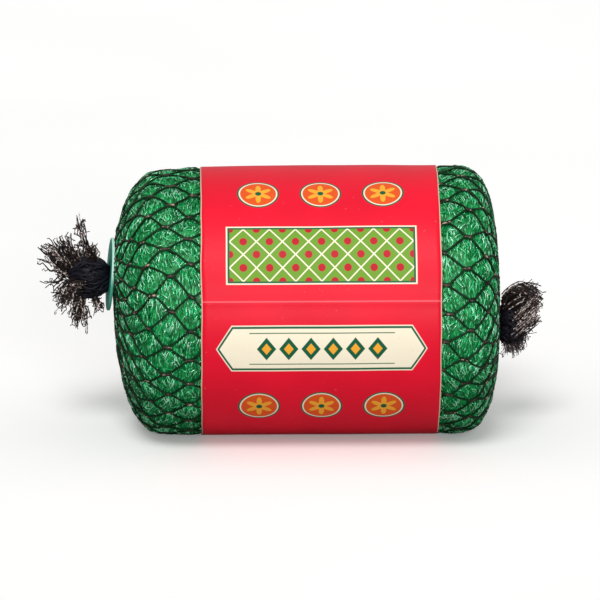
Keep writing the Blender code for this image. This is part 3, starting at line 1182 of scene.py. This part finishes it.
@dataclass
class Tuft:
    """One gathered and frayed end of the sleeve: a lumpy root and sprays of cut strands."""

    node: str
    root_centre: Vector
    root_size: Vector
    outward: int
    sprays: dict[str, tuple[Sleeve, tuple[Spray, ...]]]
    root_shrink: float = 0.93
    root_lumps: float = 0.16
    lump_pitch: float = 2.2
    lump_layers: tuple[float, float, int] = (0.9, 2.0, 3)
    wraps: int = 150
    wrap_radius: float = 0.5 * MM
    wrap_points: int = 12
    wrap_start: float = math.radians(14)
    wrap_ends: tuple[float, float] = (math.radians(75), math.radians(165))
    wrap_twist: float = 0.7
    wrap_heights: tuple[float, float] = (-0.06, 0.07)
    wrap_uneven: tuple[float, float] = (0.8, 1.15)
    turn_waver: tuple[float, float] = (0.15, 9.0)
    height_waver: tuple[float, float] = (0.04, 11.0)
    twigs_a_strand: int = 2
    twig_length: tuple[float, float] = (1.5 * MM, 4.0 * MM)
    twig_radius: float = 0.24 * MM
    twig_bow: float = 0.25
    seed: int = 31

    def __post_init__(self) -> None:
        """Starts the source of random numbers."""
        self.draw = np.random.default_rng(self.seed)

    def add_part(self, part: str, mesh: bpy.types.Mesh, tone: Sleeve) -> bpy.types.Object:
        """Adds one of the tuft's pieces, named for its part."""
        return add_piece(f"{self.node}_{part}", mesh, tone.value.material())

    def root(self) -> bpy.types.Object:
        """Builds the lumpy root.

        Returns:
            The piece.
        """
        bm = bmesh.new()
        bmesh.ops.create_icosphere(bm, subdivisions=4, radius=1.0)
        for vert in bm.verts:
            spot = vert.co * self.lump_pitch + Vector((self.seed, 0, 0))
            vert.co *= self.root_shrink + self.root_lumps * noise.fractal(spot, *self.lump_layers)
        bmesh.ops.scale(bm, verts=bm.verts, vec=self.root_size)
        bmesh.ops.translate(bm, verts=bm.verts, vec=self.root_centre)
        return self.add_part("root", mesh_of(bm, self.node), Sleeve.SHADED_ROOT)

    def waver(self, along: np.ndarray, size: float, waves: float) -> np.ndarray:
        """A wave along each strand of the wrap, with its own start."""
        return size * np.sin(self.draw.uniform(0, math.tau, (self.wraps, 1)) + waves * along)

    def wrap(self) -> None:
        """Lays the sleeve's gathered strands over the root, from the neck outwards."""
        draw, shape = self.draw, (self.wraps, 1)
        along = np.linspace(0.0, 1.0, self.wrap_points)[None, :]
        polar = self.wrap_start + (draw.uniform(*self.wrap_ends, shape) - self.wrap_start) * along
        twist = draw.normal(0.0, self.wrap_twist, shape)
        turn = draw.uniform(0.0, math.tau, shape) + twist * along
        turn = turn + self.waver(along, *self.turn_waver)
        out = 1.0 + draw.uniform(*self.wrap_heights, shape)
        out = out + self.waver(along, *self.height_waver)
        flat = np.sin(polar)
        unit = (-self.outward * np.cos(polar), flat * np.cos(turn), flat * np.sin(turn))
        paths = np.stack(unit, axis=-1) * out[..., None] * np.array(self.root_size)
        paths = np.array(self.root_centre) + paths
        radii = np.full(paths.shape[:2], self.wrap_radius) * draw.uniform(*self.wrap_uneven, shape)
        self.add_part("wraps", strand_mesh("wraps", paths, radii, 6), Sleeve.SHADED_ROOT)

    def twigs(self, spray: Spray, paths: np.ndarray) -> np.ndarray:
        """Draws one short twig that leaves each strand of a spray.

        Args:
            spray: the spray.
            paths: its strands' paths.

        Returns:
            The twigs' paths, as strands x 3 points x 3.
        """
        pick = self.draw.integers(spray.points // 3, spray.points, spray.count)
        base = paths[np.arange(spray.count), pick]
        way = self.draw.normal(0.0, 1.0, (spray.count, 3))
        way /= np.linalg.norm(way, axis=1)[:, None]
        length = self.draw.uniform(*self.twig_length, (spray.count, 1))
        bow = self.draw.normal(0.0, self.twig_bow, (spray.count, 3)) * length
        return np.stack((base, base + way * length / 2 + bow, base + way * length), axis=1)

    def fray(self, part: str, tone: Sleeve, sprays: tuple[Spray, ...]) -> None:
        """Builds cut strands that burst from the root, each with a few short twigs.

        Args:
            part: what the piece is called, after the tuft's own name.
            tone: the strands' finish.
            sprays: the bundles of strands.
        """
        bm = bmesh.new()
        for spray in sprays:
            paths, radii = spray.paths(self.draw), spray.radii(self.draw)
            bundles = [(paths, radii)]
            for _ in range(self.twigs_a_strand):
                twigs = self.twigs(spray, paths)
                bundles.append((twigs, np.full(twigs.shape[:2], self.twig_radius)))
            for lines, sizes in bundles:
                mesh = strand_mesh("strands", lines, sizes, 4)
                bm.from_mesh(mesh)
                bpy.data.meshes.remove(mesh)
        self.add_part(part, mesh_of(bm, self.node), tone)

    def build(self) -> None:
        """Builds and dresses the root, the strands over it and the frayed ends."""
        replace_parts(self.root(), self.node)
        self.wrap()
        for part, (tone, sprays) in self.sprays.items():
            self.fray(part, tone, sprays)


def left_tuft() -> Tuft:
    """The left end: a dense root past the washer, with ragged locks that burst out of it.

    Returns:
        The tuft, not built yet.
    """
    locks = (
        # count, then the lock's start, middle and end in mm, and how wide its end spreads
        (50, (-119, 0, 82), (-125, -2, 87), (-129.5, -3, 91.5), 5.0),
        (26, (-116, -3, 85), (-120, -6, 92), (-123, -7, 98), 5.0),
        (10, (-110, 2, 88), (-113, 3, 97), (-114, 4, 108), 3.0),
        (14, (-106, -2, 87), (-107, -4, 91), (-108, -5, 95), 4.0),
        (22, (-119, -3, 75), (-122, -6, 70), (-123, -8, 66), 5.0),
        (34, (-114, -2, 70), (-115, -4, 63), (-114.5, -5, 57), 4.0),
        (12, (-107, -3, 70), (-105, -5, 67), (-104.5, -6, 64), 3.0),
        (9, (-120, 1, 79), (-124, 2, 79), (-127, 2, 78), 5.0),
        (16, (-113, -9, 78), (-119, -14, 77), (-122, -17, 74), 5.0),
        (26, (-112, 9, 80), (-117, 15, 84), (-121, 19, 86), 5.0),
        (24, (-113, 7, 74), (-117, 13, 68), (-120, 17, 61), 5.0),
    )
    pale = tuple(lock(count // 5, *places, spread + 0.5) for count, *places, spread in locks)
    return Tuft(
        node="tuft_left",
        root_centre=Vector((-109.6, 0.0, 78.5)) * MM,
        root_size=Vector((11.2, 11.0, 9.8)) * MM,
        outward=-1,
        sprays={
            "fray": (Sleeve.FRAY, tuple(lock(*facts) for facts in locks)),
            "glints": (Sleeve.GLINT, pale),
        },
    )


RIGHT_GATES = {
    # two corners of each gate in mm, from the root outwards
    "tail": (
        ((99.5, -6, 44), (102.5, 6, 60)),
        ((103, -10, 45), (108, 10, 66)),
        ((108, -13, 47), (114.5, 13, 72)),
        ((112.5, -13.5, 51), (119.5, 13.5, 74)),
    ),
    "crest": (
        ((99.5, -6, 55), (102, 6, 67)),
        ((101.5, -9, 62), (106, 9, 74)),
        ((107, -10, 68), (113, 10, 77)),
        ((114, -12, 61), (120.5, 12, 71)),
    ),
    "droop": (
        ((99.5, -6, 43), (102.5, 6, 54)),
        ((104, -9, 44), (109, 9, 55)),
        ((106.5, -10, 43), (115, 10, 55)),
        ((105, -8.5, 39.5), (113, 8.5, 49)),
    ),
    "gleam": (
        ((101, -11, 45), (104, 2, 55)),
        ((104, -14, 48), (108.5, -4, 60)),
        ((109, -15, 52), (114, -5, 66)),
        ((112.5, -15, 56), (120, -2, 72)),
    ),
    "fuzz": (
        ((100, -5, 44), (102.5, 5, 52)),
        ((102, -7, 42), (107, 7, 50)),
        ((102, -7.5, 39), (109.5, 7.5, 45)),
        ((101.5, -6.5, 37), (110.5, 6.5, 42)),
    ),
}


def right_tuft() -> Tuft:
    """The right end: a bushy tail that points up and outwards, with drooping ends under it.

    Returns:
        The tuft, not built yet.
    """
    bushy = (
        Spray(200, RIGHT_GATES["tail"], thickness=0.7, wiggle=0.3, loose=0.08),
        Spray(120, RIGHT_GATES["crest"], thickness=0.7, wiggle=0.4, loose=0.09),
        Spray(90, RIGHT_GATES["droop"], thickness=0.65, wiggle=0.4, loose=0.1),
    )
    pale = (
        Spray(46, RIGHT_GATES["gleam"], thickness=0.55, wiggle=0.2, loose=0.08),
        Spray(16, RIGHT_GATES["crest"], thickness=0.5, wiggle=0.35, loose=0.1),
    )
    return Tuft(
        node="tuft_right",
        root_centre=Vector((103.8, -0.5, 53.0)) * MM,
        root_size=Vector((6.8, 12.0, 9.8)) * MM,
        outward=1,
        wraps=90,
        twigs_a_strand=1,
        twig_length=(0.8 * MM, 2.2 * MM),
        seed=47,
        sprays={
            "fray": (Sleeve.FRAY, bushy),
            "glints": (Sleeve.GLINT, pale),
            "fuzz": (Sleeve.FUZZ, (Spray(120, RIGHT_GATES["fuzz"], thickness=0.5, wiggle=0.6),)),
        },
    )


# Washer and band


@dataclass
class EndWasher:
    """The thin round washer at the left end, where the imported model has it."""

    middle: Vector
    radius: float = 18.5 * MM
    hole: float = 7.2 * MM
    rim: float = 0.8 * MM
    thickness: float = 1.4 * MM
    standoff: float = 0.4 * MM
    tilt: float = math.radians(4.8)
    yaw: float = math.radians(4.0)
    sides: int = 96
    edge: float = 0.25 * MM
    corner_angle: float = 1.0

    def build(self) -> None:
        """Builds the washer with eased edges and dresses it."""
        bm = bmesh.new()
        for radius in (self.radius, self.hole):
            bmesh.ops.create_circle(bm, segments=self.sides, radius=radius)
        bmesh.ops.bridge_loops(bm, edges=bm.edges)
        bmesh.ops.solidify(bm, geom=bm.faces, thickness=self.thickness)
        joined = [edge for edge in bm.edges if len(edge.link_faces) == 2]
        corners = [edge for edge in joined if edge.calc_face_angle() > self.corner_angle]
        bmesh.ops.bevel(
            bm, geom=corners, offset=self.edge, segments=2, profile=0.5, affect="EDGES", material=-1
        )
        bmesh.ops.translate(bm, verts=bm.verts, vec=(0.0, 0.0, self.standoff))
        turn = Matrix.Rotation(self.yaw, 4, "Z") @ Matrix.Rotation(-math.pi / 2 + self.tilt, 4, "Y")
        bmesh.ops.transform(bm, matrix=turn, verts=bm.verts)
        bmesh.ops.translate(bm, verts=bm.verts, vec=self.middle)
        centre = self.middle + turn @ Vector((0.0, 0.0, self.standoff))
        finish = WasherFinish().material(centre, self.radius - self.rim)
        washer = add_piece("washer_disc", mesh_of(bm, "washer_disc"), finish)
        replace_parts(washer, "end_washer")


@dataclass
class PaperBand:
    """The paper band: one strip wrapped round the roll, with its ends lapped at the back."""

    form: RollForm
    lap: float = 9.0 * MM
    lap_gap: float = 0.12 * MM
    lap_rise: tuple[float, float] = (1.6, 0.6)
    seam_turn: float = 0.70
    thickness: float = 0.35 * MM
    around: int = 320
    columns: int = 36
    standing: float = 0.15 * MM
    wave: float = 0.4 * MM
    wave_spots: Point = (4.0, 13.0, 3.0)
    edge_waver: float = 0.5 * MM
    edge_spots: Point = (9.0, 20.0, 7.0)
    edge_fade: int = 6
    crease_turn: float = 0.287
    crease_height: float = 0.45 * MM
    crease_width: float = 2.2 * MM

    def unevenness(self, place: np.ndarray) -> tuple[float, float]:
        """How far a spot of the paper stands out, and how far its edge wanders along the roll.

        Args:
            place: its place on the flat strip, from -0.5 to 0.5 both ways.

        Returns:
            Both in metres.
        """
        across, along = place[0], place[1]
        soft, waver = (
            noise.noise(Vector((side * wide, along * long, start)))
            for side, (wide, long, start) in ((across, self.wave_spots), (np.sign(across), self.edge_spots))
        )
        return soft * self.wave, waver * self.edge_waver * abs(2.0 * across) ** self.edge_fade

    def build(self) -> None:
        """Builds the band from a flat strip and dresses it."""
        form = self.form
        girth = math.tau * form.radius
        length, width = girth + self.lap, form.band_right - form.band_left
        front = (1.0 + self.crease_turn - self.seam_turn) * girth + self.lap / 2
        finish = BandFinish(width / MM, length / MM, front / MM)
        bm, flat = flat_grid(self.columns, self.around, finish.map_name)
        part, far = flat[:, 0] + 0.5, flat[:, 1] + 0.5
        turns = self.seam_turn + (far * length - self.lap / 2) / girth
        first, last = form.band_rows
        start, rise = (share * self.lap for share in self.lap_rise)
        lapped = smoothstep((far * length - (length - start)) / rise)
        crease = (turns - 1.0 - self.crease_turn) * girth / self.crease_width
        height = self.crease_height * np.exp(-(crease**2)) + self.standing
        height = height + (self.thickness + self.lap_gap) * lapped
        points = form.skin(turns, first + part * (last - first), height)
        for vert, point, place in zip(bm.verts, points, flat):
            soft, waver = self.unevenness(place)
            out = Vector((0.0, point[1], point[2] - form.axis_height)).normalized()
            vert.co = Vector(point) + out * soft
            vert.co.x += waver
            vert.co.z = max(vert.co.z, 0.0)
        mesh = mesh_of(bm, "band_wrap", outwards=False)
        band = add_piece("band_wrap", mesh, finish.material())
        wall = band.modifiers.new("thickness", "SOLIDIFY")
        wall.thickness = self.thickness
        wall.offset = -1.0
        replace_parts(band, "paper_band")


# Studio


@dataclass
class Studio:
    """A plain pale floor, soft light and the camera."""

    azimuth: float = math.radians(-1.2)
    elevation: float = math.radians(14.0)
    distance: float = 2.9
    view_width: float = 0.3045
    view_depth: float = 100.0
    sensor: float = 36.0
    target: Vector = field(default_factory=lambda: Vector((-2.6, 0.0, 66.0)) * MM)
    floor_size: float = 12.0
    floor_cells: int = 8
    floor_roughness: float = 0.75
    floor_specular: float = 0.2
    floor_spots: float = 3.0
    floor_spread: tuple[float, float] = (0.3, 0.7)
    floor_tones: tuple[Colour, Colour] = ((246, 246, 245), (250, 250, 249))
    floor_bounce: Colour = (150, 150, 150)
    floor_glow: float = 0.16
    surround: float = 0.48
    suns: tuple[tuple[str, Point, float, float], ...] = (
        # name, the way it shines, strength, softness in degrees
        ("key", (0.15, 0.7, -1.0), 1.4, 24.0),
        ("fill", (-0.15, 1.0, -0.22), 1.35, 26.0),
    )

    def add_floor(self) -> None:
        """Lays the floor under the roll, white to the camera and duller to the roll."""
        bm = bmesh.new()
        cells = self.floor_cells
        bmesh.ops.create_grid(bm, x_segments=cells, y_segments=cells, size=self.floor_size / 2)
        mesh = mesh_of(bm, "studio_floor")
        made, sheet, shader = new_material("floor_paper", self.floor_roughness, self.floor_specular)
        soft = sheet.ramp(sheet.noise(sheet.place(), self.floor_spots), *self.floor_spread)
        paper = sheet.mix(soft, *(linear(*tone) for tone in self.floor_tones))
        seen = sheet.add("LightPath").outputs["Is Camera Ray"]
        sheet.feed(shader.inputs["Base Color"], sheet.mix(seen, linear(*self.floor_bounce), paper))
        sheet.feed(shader.inputs["Emission Color"], sheet.mix(seen, linear(0, 0, 0), paper))
        shader.inputs["Emission Strength"].default_value = self.floor_glow
        mesh.materials.append(made)
        floor = bpy.data.objects.new("studio_floor", mesh)
        bpy.context.scene.collection.objects.link(floor)

    def add_lights(self) -> None:
        """Lights the roll from above the camera, with a bright surround."""
        world = bpy.data.worlds.new("studio")
        bpy.context.scene.world = world
        world.use_nodes = True
        surround = world.node_tree.nodes["Background"]
        surround.inputs["Color"].default_value = (1.0, 1.0, 1.0, 1.0)
        surround.inputs["Strength"].default_value = self.surround
        for name, way, strength, softness in self.suns:
            light = bpy.data.lights.new(name, "SUN")
            light.energy = strength
            light.angle = math.radians(softness)
            lamp = bpy.data.objects.new(name, light)
            lamp.rotation_mode = "QUATERNION"
            lamp.rotation_quaternion = Vector(way).to_track_quat("-Z", "Y")
            bpy.context.scene.collection.objects.link(lamp)

    def add_camera(self) -> None:
        """Sets the camera at the photograph's angle."""
        lens = bpy.data.cameras.new("camera")
        lens.sensor_width = self.sensor
        lens.lens = self.sensor * self.distance / self.view_width
        lens.clip_end = self.view_depth
        camera = bpy.data.objects.new("camera", lens)
        side, front, flat = math.sin(self.azimuth), math.cos(self.azimuth), math.cos(self.elevation)
        back = Vector((side * flat, -front * flat, math.sin(self.elevation)))
        camera.location = self.target + back * self.distance
        camera.rotation_mode = "QUATERNION"
        camera.rotation_quaternion = (-back).to_track_quat("-Z", "Y")
        bpy.context.scene.collection.objects.link(camera)
        bpy.context.scene.camera = camera

    def build(self) -> None:
        """Builds the floor, the lights and the camera."""
        self.add_floor()
        self.add_lights()
        self.add_camera()
        bpy.context.scene.view_settings.view_transform = "Standard"


def main() -> None:
    """Builds and dresses every piece of the roll."""
    logging.basicConfig(level=logging.INFO, format="%(name)s: %(message)s")
    Studio().build()
    form = RollForm()
    left_pole = Vector((form.along[0], 0.0, form.axis_height + form.lift[0]))
    for part in (Netting(form), MeshSleeve(form), PaperBand(form), EndWasher(left_pole)):
        part.build()
    for tuft in (left_tuft(), right_tuft()):
        tuft.build()


if __name__ == "__main__":
    main()
